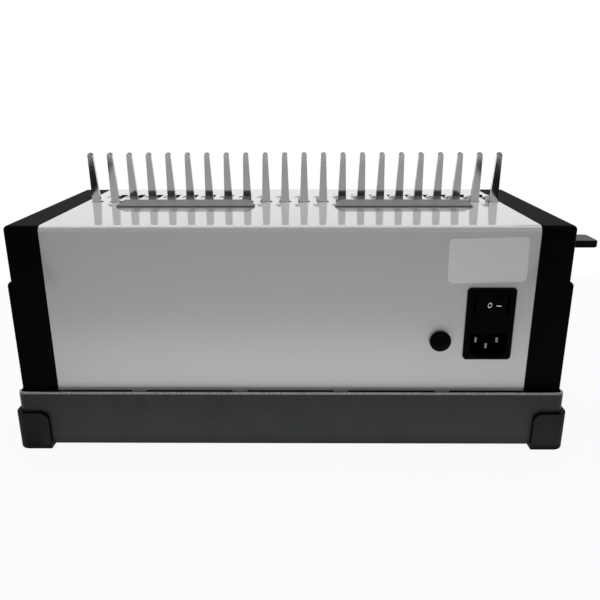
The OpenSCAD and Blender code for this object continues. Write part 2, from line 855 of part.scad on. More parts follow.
module shaft_bushes() {
    color(brass) at_frame()
        for (s = [0, 1])
            mirror([s, 0, 0])
                for (hole = [[lever_y, lever_z], [yoke_y, crank_z]])
                    difference() {
                        union() {
                            rod_x(bush_r, half_w - 3, frame_t + 3, hole[0], hole[1]);
                            rod_x(bush_r + 2.5, frame_out, 1, hole[0], hole[1]);
                        }
                        rod_x(shaft_r + running_gap, half_w - 4, frame_t + 8, hole[0], hole[1]);
                    }
}

// ---- Comb opening mechanism ----

module puller_rails() {
    color(steel) at_frame()
        for (s = [0, 1])
            mirror([s, 0, 0])
                box(half_w - rail_w, half_w, deck_y + 0.5, puller_y, puller_z - 0.1 - rail_t, puller_z - 0.1);
}

module puller_plate() {
    color(steel) at_frame() difference() {
        box(-half_w + 2, half_w - 2, puller_y - puller_d, puller_y, puller_z, puller_z + puller_t);
        for (i = [1 : 2 : ring_count - 1])
            translate([ring_x(i), puller_y - puller_d / 2, puller_z - cut])
                linear_extrude(puller_t + 2 * cut) rounded_rect(7, 16, 2);
    }
}

// A stem through the deck's slot with an arm along the row, its end drooping a little
module hook() {
    top = deck_z + hook_h;
    w = hook_stem_w;
    translate([0, 0, puller_z + puller_t]) linear_extrude(top - puller_z - puller_t - hook_t)
        translate([0, -hook_d]) square([w, hook_d]);
    rotate([90, 0, 0]) linear_extrude(hook_d)
        polygon([[0, top - hook_t - 0.01], [0, top - 0.4], [0.4, top], [w + 0.6, top],
            [hook_len, top - 0.9], [hook_len, top - hook_t - 0.9], [w, top - hook_t - 0.01]]);
}

module puller_hooks() {
    color(steel) at_frame()
        for (i = [1 : ring_count])
            translate([finger_x(i) + hook_offset, puller_y, 0]) hook();
}

// A rack with its teeth down, on the same pitch as the sector gears
module puller_racks() {
    pitch = PI * gear_module;
    add = 0.9 * gear_module;
    ded = 1.25 * gear_module;
    half = pitch / 4 - backlash / 4;
    rack_front = puller_y - puller_d - 1;
    rack_back = puller_y - 0.2;
    last = floor((rack_back - lever_y) / pitch) - 1;
    color(steel) at_frame()
        for (x = [-sector_x, sector_x])
            translate([x, 0, 0]) along_x(gear_w) {
                translate([rack_front, rack_line + ded])
                    square([rack_back - rack_front, puller_z - rack_line - ded]);
                for (k = [-1 : last])
                    translate([lever_y + (k + 0.5) * pitch, rack_line])
                        polygon([[-half - ded * tan(press_angle), ded + 0.01],
                            [-half + add * tan(press_angle), -add], [half - add * tan(press_angle), -add],
                            [half + ded * tan(press_angle), ded + 0.01]]);
            }
}

module sector_gears() {
    reach = ceil(lever_swing / (360 / sector_teeth)) + 1;
    color(steel) at_frame()
        for (x = [-sector_x, sector_x])
            translate([x, lever_y, lever_z]) rotate([90, 0, 90]) difference() {
                linear_extrude(gear_w, center = true) {
                    circle(shaft_r + 5);
                    rotate(90) toothed_ring(sector_teeth, -reach, 1);
                }
                cylinder(r = shaft_r + seat_gap, h = gear_w + 2 * cut, center = true);
                rotate(90 - lever_swing / 2) translate([sector_r - 7.5, 0, 0])
                    cylinder(r = 2.6, h = gear_w + 2 * cut, center = true);
            }
}

module lever_shaft() {
    color(steel) at_frame() union() {
        rod_x(shaft_r, -lever_in - 5, lever_in + 5 + frame_out + 2.5, lever_y, lever_z);
        for (s = [0, 1])
            mirror([s, 0, 0]) rod_x(shaft_r + 2, half_w - 5, 1.5, lever_y, lever_z);
    }
}

// Side view of the lever's arm: an eye on the shaft and a strap up to the grip
module lever_arm() {
    arm_t = 4;
    eye = shaft_r + 5;
    grip_low = grip_rise - grip_t;
    bend_at = lever_len * 0.3;
    strap_end = lever_len - grip_d * 0.4;
    color(steel) at_frame() translate([-lever_in - arm_t, lever_y, lever_z]) rotate([90, 0, 90])
    difference() {
        union() {
            cylinder(r = eye, h = arm_t);
            linear_extrude(arm_t)
                polygon([[-2, 1 - eye], [-2, eye - 1], [bend_at, grip_low], [strap_end, grip_low],
                    [strap_end, grip_low - 5], [bend_at, -4]]);
        }
        translate([0, 0, -cut]) cylinder(r = shaft_r + seat_gap, h = arm_t + 2 * cut);
    }
}

module lever_grip() {
    r = 3;
    inner = -lever_in;
    color(black) at_frame() translate([0, lever_y, lever_z + grip_rise - grip_t])
        hull()
            for (y = [lever_len - grip_d + r, lever_len - r])
                for (x = [inner - grip_w + r, inner - r])
                    for (z = [1, grip_t - 1])
                        translate([x, y, z]) rotate_extrude($fn = 32)
                            translate([r - 1, 0]) circle(1, $fn = 16);
}

// ---- Punch ----

// Depth of the close-fitting part of a slot in the die block
die_land = 4;

module die_block() {
    color(steel) at_frame() difference() {
        box(-half_w, half_w, die_front_y, die_back_y, table_z - die_t, table_z);
        for (i = [0 : ring_count - 1])
            translate([ring_x(i), punch_y, table_z]) {
                cube([punch_w + punch_gap, punch_t + punch_gap, 3 * die_t], center = true);
                translate([0, 0, -die_t])
                    cube([punch_w + 2.4, punch_t + 2.4, 2 * (die_t - die_land)], center = true);
            }
        post_holes(table_z - post_foot, table_z + cut, seat_gap);
    }
}

module post_holes(z0, z1, gap) {
    for (x = [-post_x, post_x])
        translate([x, punch_y, z0]) cylinder(r = post_r + gap, h = z1 - z0);
}

module punch_guide() {
    color(steel) at_frame() difference() {
        box(-half_w, half_w, die_front_y, die_back_y, guide_z, guide_z + guide_t);
        for (i = [0 : ring_count - 1])
            translate([ring_x(i), punch_y, guide_z])
                cube([punch_w + 2 * punch_gap, punch_t + 2 * punch_gap, 3 * guide_t], center = true);
        post_holes(guide_z - cut, guide_z + guide_t + cut, seat_gap);
    }
}

module back_stop() {
    color(steel) at_frame()
        box(-half_w, half_w, punch_y + punch_t / 2 + 4, die_back_y, table_z, guide_z);
}

module guide_posts() {
    color(steel) at_frame()
        for (x = [-post_x, post_x])
            translate([x, punch_y, table_z - post_foot]) {
                cylinder(r = post_r, h = post_top - table_z + post_foot);
                translate([0, 0, post_top - table_z + post_foot])
                    cylinder(r1 = post_r, r2 = post_r - 0.8, h = 0.8);
            }
}

module punch_bar() {
    color(steel) at_frame() difference() {
        union() {
            box(-half_w + 1.5, half_w - 1.5, punch_y - bar_d / 2, punch_y + bar_d / 2, bar_z, bar_top);
            for (x = [-disc_x, disc_x])
                translate([x - 4, 0, 0]) {
                    box(0, 8, punch_y, yoke_y, bar_z, bar_top - 1.7);
                    translate([4, yoke_y, yoke_z]) rotate([90, 0, 90])
                        linear_extrude(8, center = true) rounded_rect(yoke_d, yoke_h, 3);
                }
        }
        for (x = [-disc_x, disc_x])
            translate([x, yoke_y, yoke_z]) cube([8 + 2 * cut, yoke_slot_d, yoke_slot_h], center = true);
        post_holes(bar_z - cut, bar_top + cut, running_gap);
    }
}

// Punches with a slanted cutting end, hanging from the bar
module punch_pins() {
    low = guide_z + tip_rise;
    color(steel) at_frame()
        for (i = [0 : ring_count - 1])
            translate([ring_x(i), punch_y, 0]) rotate([90, 0, 0]) linear_extrude(punch_t, center = true)
                polygon([[-punch_w / 2, low], [punch_w / 2, low + 0.8], [punch_w / 2, bar_z],
                    [-punch_w / 2, bar_z]]);
}

// ---- Drive ----

module eccentric_shaft() {
    left = -frame_out - 2;
    right = gear_in + gear_w + 1.5;
    color(steel) at_frame() rod_x(shaft_r, left, right - left, yoke_y, crank_z);
}

module eccentric_discs() {
    color(steel) at_frame()
        for (x = [-disc_x, disc_x])
            difference() {
                rod_x(disc_r, x - 5, 10, yoke_y, crank_z + throw);
                rod_x(shaft_r + seat_gap, x - 6, 12, yoke_y, crank_z);
            }
}

module drive_gear() {
    color(steel) at_frame() translate([gear_in, yoke_y, crank_z]) rotate([90, 0, 90]) difference() {
        linear_extrude(gear_w) rotate(-pinion_angle) whole_gear(drive_teeth);
        translate([0, 0, -cut]) cylinder(r = shaft_r + seat_gap, h = gear_w + 2 * cut);
        for (a = [0 : 60 : 300])
            rotate(a) translate([drive_r * 0.6, 0, -cut]) cylinder(r = 5, h = gear_w + 2 * cut);
    }
}

// The pinion's tooth gap faces the drive gear's tooth
module drive_pinion() {
    color(steel) at_frame() union() {
        translate([gear_in, pinion_y, pinion_z]) rotate([90, 0, 90])
            linear_extrude(gear_w) rotate(180 - pinion_angle + 180 / pinion_teeth) whole_gear(pinion_teeth);
        rod_x(pinion_shaft_r, half_w - pinion_reach, gear_in + gear_w + 1 - half_w + pinion_reach,
            pinion_y, pinion_z);
    }
}

module gearbox() {
    in_x = half_w - gearbox_w;
    color([0.5, 0.5, 0.52]) at_frame() difference() {
        union() {
            translate([in_x, pinion_y + (gearbox_back - gearbox_front) / 2, pinion_z]) rotate([90, 0, 90])
                linear_extrude(gearbox_w) rounded_rect(gearbox_front + gearbox_back, gearbox_h, 5);
            rod_x(pinion_shaft_r + 1.8, half_w - 1, frame_t + 1, pinion_y, pinion_z);
        }
        rod_x(pinion_shaft_r + running_gap, half_w - pinion_reach - 1, 2 * pinion_reach, pinion_y, pinion_z);
    }
}

module motor() {
    in_x = half_w - gearbox_w - motor_len;
    color([0.35, 0.35, 0.37]) at_frame()
        translate([in_x, pinion_y + 18, pinion_z]) rotate([90, 0, 90]) difference() {
            union() {
                cylinder(r = motor_r - 4, h = motor_len);
                translate([0, 0, 8]) cylinder(r = motor_r, h = motor_len - 16);
                translate([0, 0, -6]) cylinder(r = 7, h = 7);
            }
            for (a = [0 : 45 : 315])
                rotate(a) translate([motor_r, 0, motor_len / 2])
                    cube([4, 3, motor_len - 24], center = true);
        }
}

// ---- Power inlet, rocker and fuse ----

inlet_d = 30;
flange_t = 2;
rocker_z = inlet_z + 13;
rocker_h = 12.4;
rocker_arc = 11.1;
rocker_deep = 5;
rocker_tilt = 7;
socket_z = inlet_z - 14;
socket_deep = 16;

module inlet_flange_slice(w, h, y) {
    translate([-inlet_x, y, inlet_z]) rotate([-90, 0, 0]) linear_extrude(0.2)
        rounded_rect(w, h, 2.5, $fn = 32);
}

module inlet_housing() {
    face = rear_y + flange_t;
    color(black) at_frame() difference() {
        union() {
            hull() {
                inlet_flange_slice(inlet_w, inlet_h, rear_y);
                inlet_flange_slice(inlet_w, inlet_h, rear_y + flange_t - 1.2);
                inlet_flange_slice(inlet_w - 2, inlet_h - 2, rear_y + flange_t - 0.2);
            }
            box(-inlet_x - inlet_body_w / 2, -inlet_x + inlet_body_w / 2, rear_y - inlet_d, rear_y + 0.5,
                inlet_z - inlet_body_h / 2, inlet_z + inlet_body_h / 2);
        }
        box(-inlet_x - rocker_arc - slide_gap, -inlet_x + rocker_arc + slide_gap, face - 18, face + cut,
            rocker_z - rocker_h / 2 - slide_gap, rocker_z + rocker_h / 2 + slide_gap);
        translate([-inlet_x, face + cut, socket_z]) rotate([90, 0, 0]) linear_extrude(socket_deep + cut)
            polygon([[-12, 8.2], [12, 8.2], [12, -4], [7.5, -8.2], [-7.5, -8.2], [-12, -4]]);
        for (pin = inlet_pin_spots)
            translate([-inlet_x + pin[0], face - socket_deep - 10, socket_z + pin[1]])
                cube([2 + 2 * seat_gap, 40, 4 + 2 * seat_gap], center = true);
    }
}

// Contact blades: two in line, the earth blade below them
inlet_pin_spots = [[-7, 1.6], [7, 1.6], [0, -2.6]];

module inlet_pins() {
    tip = rear_y + flange_t - 5;
    color(steel) at_frame()
        for (pin = inlet_pin_spots)
            box(-inlet_x + pin[0] - 1, -inlet_x + pin[0] + 1, rear_y - inlet_d - 7, tip,
                socket_z + pin[1] - 2, socket_z + pin[1] + 2);
}

// The rocker turns about an upright axis; its off side is pressed in
module power_rocker() {
    pivot = rear_y + flange_t - rocker_deep;
    color(black) at_frame() translate([-inlet_x, pivot, rocker_z - rocker_h / 2]) rotate(-rocker_tilt)
        linear_extrude(rocker_h) intersection() {
            circle(rocker_arc);
            polygon([[-12, -4], [12, -4], [12, rocker_deep + 12 * tan(rocker_tilt)], [0, rocker_deep],
                [-12, rocker_deep + 12 * tan(rocker_tilt)]]);
        }
}

module fuse_holder() {
    color(black) at_frame() difference() {
        union() {
            rod_y(fuse_body_r, rear_y - 26, 26.8, -fuse_x, fuse_z);
            rod_y(fuse_r - 0.3, rear_y, 0.8, -fuse_x, fuse_z);
            translate([-fuse_x, rear_y - sheet_t, fuse_z]) rotate([90, 0, 0])
                cylinder(r = 9, h = 4, $fn = 6);
        }
        rod_y(4, rear_y - 22, 40, -fuse_x, fuse_z);
    }
}

// Domed cap with a stem that turns in the holder
module fuse_cap() {
    dome = 2.6;
    ball = (fuse_r * fuse_r + dome * dome) / (2 * dome);
    color(black) at_frame() translate([-fuse_x, rear_y + 0.8 + 0.1, fuse_z]) rotate([-90, 0, 0]) union() {
        cylinder(r = fuse_r, h = 1.6);
        translate([0, 0, 1.6]) intersection() {
            translate([0, 0, dome - ball]) sphere(ball);
            cylinder(r = fuse_r, h = dome + cut);
        }
        translate([0, 0, -16]) cylinder(r = 4 - running_gap, h = 16.5);
    }
}

// ---- Circuit board ----

board_w = 90;
board_d = 55;
board_side = 6.5;
board_back = 33;
board_x0 = board_side - half_w;
board_y0 = rear_y - board_back - board_d;
board_t = 1.6;
board_z = floor_z + 8;
board_edge = 6;
board_spots = [for (x = [board_x0 + board_edge, board_x0 + board_w - board_edge])
    for (y = [board_y0 + board_edge, board_y0 + board_d - board_edge]) [x, y]];
// Block-shaped parts on the board: [x, y, width, depth, height] from the board's corner
board_blocks = [[14, 10, 19, 16, 16], [38, 10, 19, 16, 16], [60, 34, 20, 10, 11], [62, 14, 20, 6, 9]];
// Round parts on the board: [x, y, radius, height]
board_cans = [[26, 40, 7, 22], [46, 40, 5, 16]];

module circuit_board() {
    color(board_green) at_frame() difference() {
        box(board_x0, board_x0 + board_w, board_y0, board_y0 + board_d, board_z, board_z + board_t);
        for (spot = board_spots)
            translate([spot[0], spot[1], board_z - cut]) cylinder(r = 1.6, h = board_t + 2 * cut);
    }
}

module board_standoffs() {
    color(brass) at_frame()
        for (spot = board_spots)
            translate([spot[0], spot[1], floor_z]) cylinder(r = 3, h = board_z - floor_z, $fn = 6);
}

module board_parts() {
    color([0.2, 0.25, 0.5]) at_frame() translate([board_x0, board_y0, board_z + board_t]) {
        for (b = board_blocks)
            translate([b[0], b[1], 0]) cube([b[2], b[3], b[4]]);
        for (c = board_cans)
            translate([c[0], c[1], 0]) cylinder(r = c[2], h = c[3]);
    }
}

base_tray();
corner_feet();
top_housing();
left_side_cover();
right_side_cover();
paper_table();
finger_bar();
comb_fingers();
comb_rests();
left_side_frame();
right_side_frame();
puller_rails();
shaft_bushes();
die_block();
punch_guide();
back_stop();
guide_posts();
gearbox();
motor();
inlet_housing();
inlet_pins();
fuse_holder();
circuit_board();
board_parts();
board_standoffs();
button_switch();
drawer_guides();
cover_screws();
frame_screws();
puller_plate();
puller_hooks();
puller_racks();
lever_shaft();
sector_gears();
lever_arm();
lever_grip();
power_rocker();
fuse_cap();
punch_bar();
punch_pins();
eccentric_shaft();
eccentric_discs();
drive_gear();
drive_pinion();
punch_button();
edge_guide();
chip_drawer();
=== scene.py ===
"""Looks of an electric comb binding machine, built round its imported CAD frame."""

import json
import math

import bmesh
import bpy
from mathutils import Euler, Matrix, Vector


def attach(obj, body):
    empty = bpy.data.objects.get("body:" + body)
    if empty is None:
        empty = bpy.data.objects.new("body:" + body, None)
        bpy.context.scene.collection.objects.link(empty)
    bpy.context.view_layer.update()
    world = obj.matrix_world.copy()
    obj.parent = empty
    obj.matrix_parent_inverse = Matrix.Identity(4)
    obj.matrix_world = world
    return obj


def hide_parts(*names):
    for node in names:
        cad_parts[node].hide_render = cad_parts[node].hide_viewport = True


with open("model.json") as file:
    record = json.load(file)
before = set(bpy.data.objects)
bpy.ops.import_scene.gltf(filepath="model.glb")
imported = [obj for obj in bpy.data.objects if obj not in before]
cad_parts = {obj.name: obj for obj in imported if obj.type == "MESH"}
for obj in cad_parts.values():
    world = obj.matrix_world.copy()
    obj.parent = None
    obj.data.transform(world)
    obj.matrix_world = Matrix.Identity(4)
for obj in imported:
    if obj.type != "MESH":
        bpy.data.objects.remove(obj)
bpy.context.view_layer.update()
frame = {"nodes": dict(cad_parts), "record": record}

MM = 0.001

# Places that the pieces share, in millimetres. The frame's origin is the middle of the machine's
# footprint with its lever. The rear panel's middle lies ROW_X beside it, and its face at REAR_Y.
ROW_X = 11.6
REAR_Y = 125.03


def at(right, height, out=0.0):
    """A point on the rear panel: millimetres to the right of its middle as seen from behind,
    up from the table, and out of the panel."""
    return Vector((ROW_X - right, REAR_Y + out, height)) * MM


# ---- Materials ----


class Nodes:
    """A material's node tree, with one line for each node that is added."""

    def __init__(self, name):
        self.material = bpy.data.materials.new(name)
        self.material.use_nodes = True
        self.tree = self.material.node_tree
        self.shader = self.tree.nodes["Principled BSDF"]
        self.output = self.tree.nodes["Material Output"]

    def add(self, kind, inputs=None, **settings):
        """Adds a node, sets or links its inputs, and makes its settings."""
        node = self.tree.nodes.new(kind)
        for key, value in settings.items():
            setattr(node, key, value)
        for key, value in (inputs or {}).items():
            if isinstance(value, bpy.types.NodeSocket):
                self.tree.links.new(value, node.inputs[key])
            else:
                node.inputs[key].default_value = value
        return node

    def set(self, **values):
        """Sets or links the shader's inputs, whose names have underscores for spaces here."""
        for key, value in values.items():
            socket = self.shader.inputs[key.replace("_", " ")]
            if isinstance(value, bpy.types.NodeSocket):
                self.tree.links.new(value, socket)
            else:
                socket.default_value = value

    def place(self, scale=(1, 1, 1)):
        """Object coordinates, stretched by scale."""
        where = self.add("ShaderNodeTexCoord").outputs["Object"]
        return self.add("ShaderNodeMapping", {"Vector": where, "Scale": scale}).outputs[0]

    def noise(self, scale, detail=2.0, vector=None, roughness=0.5):
        """A noise field, on plain object coordinates unless a vector is given."""
        inputs = {"Scale": scale, "Detail": detail, "Roughness": roughness}
        inputs["Vector"] = vector or self.place()
        return self.add("ShaderNodeTexNoise", inputs).outputs[0]

    def spread(self, factor, low, high, start=0.3, end=0.7):
        """A number from low to high as factor goes from start to end."""
        return self.map_range(factor, start, end, low, high)

    def map_range(self, value, start, end, low, high, curve="LINEAR"):
        """A number from low to high as value goes from start to end, along the curve."""
        names = ("Value", "From Min", "From Max", "To Min", "To Max")
        inputs = dict(zip(names, (value, start, end, low, high)))
        return self.add("ShaderNodeMapRange", inputs, interpolation_type=curve).outputs[0]

    def maths(self, operation, *values):
        """The result of a Math node."""
        return self.add("ShaderNodeMath", dict(enumerate(values)), operation=operation).outputs[0]

    def shade(self, factor, dark, light, start=0.3, end=0.7):
        """A colour from dark to light as factor goes from start to end."""
        ramp = self.add("ShaderNodeValToRGB", {"Fac": factor})
        for stop, place, colour in zip(ramp.color_ramp.elements, (start, end), (dark, light)):
            stop.position = place
            stop.color = (*colour, 1)
        return ramp.outputs[0]

    def bump(self, height, depth_mm):
        """A normal that follows height as relief of the given depth."""
        inputs = {"Height": height, "Strength": 1.0, "Distance": depth_mm * MM}
        return self.add("ShaderNodeBump", inputs).outputs[0]


def grey(level, tint=(0, 0, 0)):
    """A grey of the given level, with a tint added."""
    return tuple(level + t for t in tint)


def silver_coat():
    """Satin silver powder coat: fine flakes and a faint orange peel."""
    n = Nodes("silver_coat")
    flakes = n.noise(2600, 1)
    mottle = n.noise(38, 3)
    n.set(
        Base_Color=n.shade(flakes, grey(0.38), grey(0.46, (0, 0.002, 0.006))),
        Metallic=0.1,
        Roughness=n.spread(mottle, 0.1, 0.14),
        Normal=n.bump(n.noise(900, 2), 0.012),
        Coat_Weight=1.0,
        Coat_Roughness=0.02,
        Coat_IOR=1.5,
    )
    return n.material


def charcoal_coat():
    """Fine-textured charcoal coat of the tray."""
    n = Nodes("charcoal_coat")
    grain = n.noise(1500, 2)
    n.set(
        Base_Color=n.shade(n.noise(60, 3), (0.0135, 0.0155, 0.0155), (0.0175, 0.0195, 0.0195)),
        Specular_IOR_Level=0.17,
        Roughness=n.spread(grain, 0.36, 0.46),
        Normal=n.bump(grain, 0.02),
    )
    return n.material


def rim_highlight_coat():
    """The tray's rounded rim: a glossier coat, with a painted highlight in its much lighter
    colour.
    """
    n = Nodes("rim_highlight_coat")
    grain = n.noise(700, 2)
    n.set(
        Base_Color=n.shade(grain, (0.15, 0.155, 0.155), (0.25, 0.26, 0.26)),
        Metallic=0.3,
        Roughness=n.spread(grain, 0.2, 0.3),
    )
    return n.material


def black_moulding():
    """Fine-grained black moulding of the covers."""
    n = Nodes("black_moulding")
    grain = n.noise(1300, 3, roughness=0.6)
    n.set(
        Base_Color=n.shade(n.noise(45, 2), (0.0022, 0.0022, 0.0026), (0.003, 0.003, 0.0035)),
        Roughness=n.spread(grain, 0.45, 0.6),
        Specular_IOR_Level=0.006,
        Normal=n.bump(grain, 0.03),
    )
    return n.material


def guard_rubber():
    """Dull black of the corner guards, a little greyer than the covers."""
    n = Nodes("guard_rubber")
    grain = n.noise(1300, 3, roughness=0.6)
    n.set(
        Base_Color=n.shade(n.noise(45, 2), (0.009, 0.0095, 0.010), (0.012, 0.0125, 0.013)),
        Roughness=n.spread(grain, 0.5, 0.65),
        Specular_IOR_Level=0.05,
        Normal=n.bump(grain, 0.03),
    )
    return n.material


def gloss_black():
    """Smooth black of the inlet, rocker and fuse cap."""
    n = Nodes("gloss_black")
    wave = n.noise(180, 2)
    n.set(
        Base_Color=n.shade(wave, (0.001, 0.001, 0.001), (0.0015, 0.0015, 0.0018)),
        Roughness=n.spread(wave, 0.2, 0.28),
        Specular_IOR_Level=0.02,
        Normal=n.bump(wave, 0.01),
    )
    return n.material


def grip_black():
    """Smooth black moulding of the lever's grip."""
    n = Nodes("grip_black")
    grain = n.noise(900, 2)
    n.set(
        Base_Color=n.shade(n.noise(60, 2), (0.003, 0.0032, 0.0036), (0.0045, 0.0047, 0.005)),
        Roughness=n.spread(grain, 0.26, 0.36),
        Specular_IOR_Level=0.05,
        Normal=n.bump(grain, 0.015),
    )
    return n.material


def socket_shaded_blades():
    """Nickel plate of the inlet's blades, painted dark for the shade of its deep socket."""
    n = Nodes("socket_shaded_blades")
    lines = n.noise(900, 2, n.place((1, 1, 0.2)))
    n.set(
        Base_Color=n.shade(lines, grey(0.16), grey(0.22)),
        Metallic=1.0,
        Roughness=n.spread(lines, 0.2, 0.3),
    )
    return n.material


def bright_steel():
    """Polished sheet steel with fine drawn lines."""
    n = Nodes("bright_steel")
    lines = n.noise(900, 3, n.place((6, 6, 0.35)))
    n.set(
        Base_Color=n.shade(lines, grey(0.50), grey(0.58)),
        Metallic=1.0,
        Roughness=n.spread(lines, 0.09, 0.15),
        Normal=n.bump(lines, 0.006),
    )
    return n.material


def hook_steel():
    """Bright plated steel of the small hooks."""
    n = Nodes("hook_steel")
    lines = n.noise(900, 2, n.place((0.4, 6, 6)))
    n.set(
        Base_Color=n.shade(lines, grey(0.74), grey(0.80)),
        Metallic=0.5,
        Roughness=n.spread(lines, 0.3, 0.4),
    )
    return n.material


def slot_wall_shade():
    """Cut edges of the sheet inside the deck's slots, painted near black as the shade inside the
    case.
    """
    n = Nodes("slot_wall_shade")
    n.set(
        Base_Color=n.shade(n.noise(800, 2), grey(0.008), grey(0.014)),
        Roughness=0.6,
        Specular_IOR_Level=0.1,
    )
    return n.material


def dark_tip_edge():
    """Dark steel of the rounded edge round the fingers' tips."""
    n = Nodes("dark_tip_edge")
    lines = n.noise(1200, 3, n.place((5, 0.5, 5)))
    n.set(
        Base_Color=n.shade(lines, grey(0.035), grey(0.055)),
        Metallic=0.8,
        Roughness=n.spread(lines, 0.4, 0.55),
    )
    return n.material


def dark_zinc():
    """Dull zinc plate of the two rests."""
    n = Nodes("dark_zinc")
    lines = n.noise(700, 3, n.place((0.3, 5, 5)))
    n.set(
        Base_Color=n.shade(lines, grey(0.085), grey(0.11)),
        Metallic=0.9,
        Roughness=n.spread(lines, 0.3, 0.4),
        Normal=n.bump(lines, 0.008),
    )
    return n.material


def machined_steel():
    """Machined steel of the gears, shafts and punch parts."""
    n = Nodes("machined_steel")
    lines = n.noise(700, 3, n.place((0.3, 5, 5)))
    n.set(
        Base_Color=n.shade(lines, grey(0.34), grey(0.42)),
        Metallic=1.0,
        Roughness=n.spread(lines, 0.28, 0.4),
        Normal=n.bump(lines, 0.01),
    )
    return n.material


def brass():
    """Turned brass of the bushes."""
    n = Nodes("turned_brass")
    lines = n.noise(800, 2, n.place((8, 1, 1)))
    n.set(
        Base_Color=n.shade(lines, (0.50, 0.36, 0.14), (0.60, 0.45, 0.20)),
        Metallic=1.0,
        Roughness=n.spread(lines, 0.24, 0.36),
    )
    return n.material


def motor_metal():
    """Dark cast metal of the motor and gearbox."""
    n = Nodes("motor_metal")
    cast = n.noise(420, 4)
    n.set(
        Base_Color=n.shade(cast, grey(0.12), grey(0.17)),
        Metallic=0.8,
        Roughness=n.spread(cast, 0.45, 0.6),
        Normal=n.bump(cast, 0.06),
    )
    return n.material


def circuit_board():
    """Green board with a pattern like tracks."""
    n = Nodes("circuit_board")
    cells = {"Vector": n.place(), "Scale": 320.0}
    tracks = n.add("ShaderNodeTexVoronoi", cells, distance="MANHATTAN").outputs["Distance"]
    n.set(
        Base_Color=n.shade(tracks, (0.02, 0.13, 0.06), (0.04, 0.20, 0.10)),
        Roughness=0.4,
    )
    return n.material


def board_parts():
    """Blue-black cases of the parts on the board."""
    n = Nodes("board_parts")
    n.set(
        Base_Color=n.shade(n.noise(30, 1), (0.03, 0.04, 0.10), (0.06, 0.07, 0.16), 0.45, 0.55),
        Roughness=0.5,
    )
    return n.material


def button_green():
    """Smooth green plastic of the punch button."""
    n = Nodes("button_green")
    wave = n.noise(150, 2)
    n.set(
        Base_Color=n.shade(wave, (0.02, 0.16, 0.05), (0.03, 0.20, 0.07)),
        Roughness=n.spread(wave, 0.22, 0.3),
    )
    return n.material


def sticker_film():
    """Brushed silver film of the rating label."""
    n = Nodes("sticker_film")
    brushed = n.noise(500, 3, n.place((0.2, 1, 8)))
    n.set(
        Base_Color=n.shade(brushed, grey(0.54), grey(0.60)),
        Metallic=0.25,
        Roughness=n.spread(brushed, 0.42, 0.5),
    )
    return n.material


def white_print():
    """White print of the rocker's marks."""
    n = Nodes("white_print")
    n.set(Base_Color=n.shade(n.noise(900, 2), grey(0.62), grey(0.72)), Roughness=0.5)
    return n.material


# By material slot in the record
MATERIALS = {
    "silver_paint": silver_coat(),
    "charcoal_paint": charcoal_coat(),
    "black_plastic": black_moulding(),
    "gloss_black_plastic": gloss_black(),
    "bright_steel": bright_steel(),
    "machined_steel": machined_steel(),
    "brass": brass(),
    "motor_metal": motor_metal(),
    "circuit_board": circuit_board(),
    "board_parts": board_parts(),
    "button_plastic": button_green(),
}
# By node, in place of its slot's material
OWN_MATERIALS = {
    "comb_rests": dark_zinc(),
    "corner_feet": guard_rubber(),
    "lever_grip": grip_black(),
    "inlet_pins": socket_shaded_blades(),
    "puller_hooks": hook_steel(),
}
STICKER = sticker_film()
PRINT = white_print()

RECORD = frame["record"]
SLOTS = {part["node"]: part["material_slot"] for part in RECORD["subparts"]}
BODIES = {node: body for body, nodes in RECORD["behaviour"]["bodies"].items() for node in nodes}


def node_material(node):
    """The material of a CAD node: its own, or that of its slot in the record."""
    return OWN_MATERIALS.get(node) or MATERIALS[SLOTS[node]]


def dress_frame():
    """Gives every CAD node its material."""
    for name, node in frame["nodes"].items():
        for place in node.material_slots:
            place.material = node_material(name)


dress_frame()


# ---- Pieces ----


def piece(name, mesh_maker, body, material):
    """A mesh piece, made by mesh_maker(bm), that rides on a body."""
    mesh = bpy.data.meshes.new(name)
    bm = bmesh.new()
    mesh_maker(bm)
    bm.to_mesh(mesh)
    bm.free()
    thing = bpy.data.objects.new(name, mesh)
    bpy.context.collection.objects.link(thing)
    mesh.materials.append(material)
    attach(thing, body)
    return thing


# Points of a CAD mesh this close are one, and faces this near to parallel are one
SAME_POINT = 0.002
FLAT_ANGLE = math.radians(0.6)


def clean_copy(bm, node):
    """Fills bm with a CAD node's solids, its triangles joined into whole flat faces."""
    bm.from_mesh(frame["nodes"][node].data)
    bmesh.ops.remove_doubles(bm, verts=bm.verts, dist=SAME_POINT * MM)
    bmesh.ops.dissolve_limit(bm, angle_limit=FLAT_ANGLE, verts=bm.verts, edges=bm.edges)


# Edges with a sharper turn than this are rounded
SHARP_ANGLE = math.radians(28)


def softened(node, radius, segments=2, second=None, shape=None):
    """A copy of a CAD node with its sharp edges rounded, which stands for the node. radius is in
    millimetres, second is a material and the test of a face that gets it, and shape(bm) works on
    the mesh."""

    def make(bm):
        clean_copy(bm, node)
        for face in bm.faces:
            face.material_index = 1 if second and second[1](face) else 0
        if shape:
            shape(bm)

    thing = piece("soft_" + node, make, BODIES[node], node_material(node))
    if second:
        thing.data.materials.append(second[0])
    old_normals = thing.data.attributes.get("custom_normal")
    if old_normals:
        thing.data.attributes.remove(old_normals)
    rounding = thing.modifiers.new("rounding", "BEVEL")
    rounding.width = radius * MM
    rounding.segments = segments
    rounding.limit_method = "ANGLE"
    rounding.angle_limit = SHARP_ANGLE
    rounding.harden_normals = True
    rounding.miter_outer = "MITER_ARC"
    thing.data.shade_smooth()
    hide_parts(node)
    return thing


def rounded_outline(width, height, radius, steps=6):
    """Points of a rounded rectangle about the origin, anticlockwise."""
    points = []
    for quarter, (sx, sy) in enumerate(((1, 1), (-1, 1), (-1, -1), (1, -1))):
        for k in range(steps + 1):
            angle = math.pi / 2 * (quarter + k / steps)
            points.append((
                sx * (width / 2 - radius) + radius * math.cos(angle),
                sy * (height / 2 - radius) + radius * math.sin(angle),
            ))
    return points


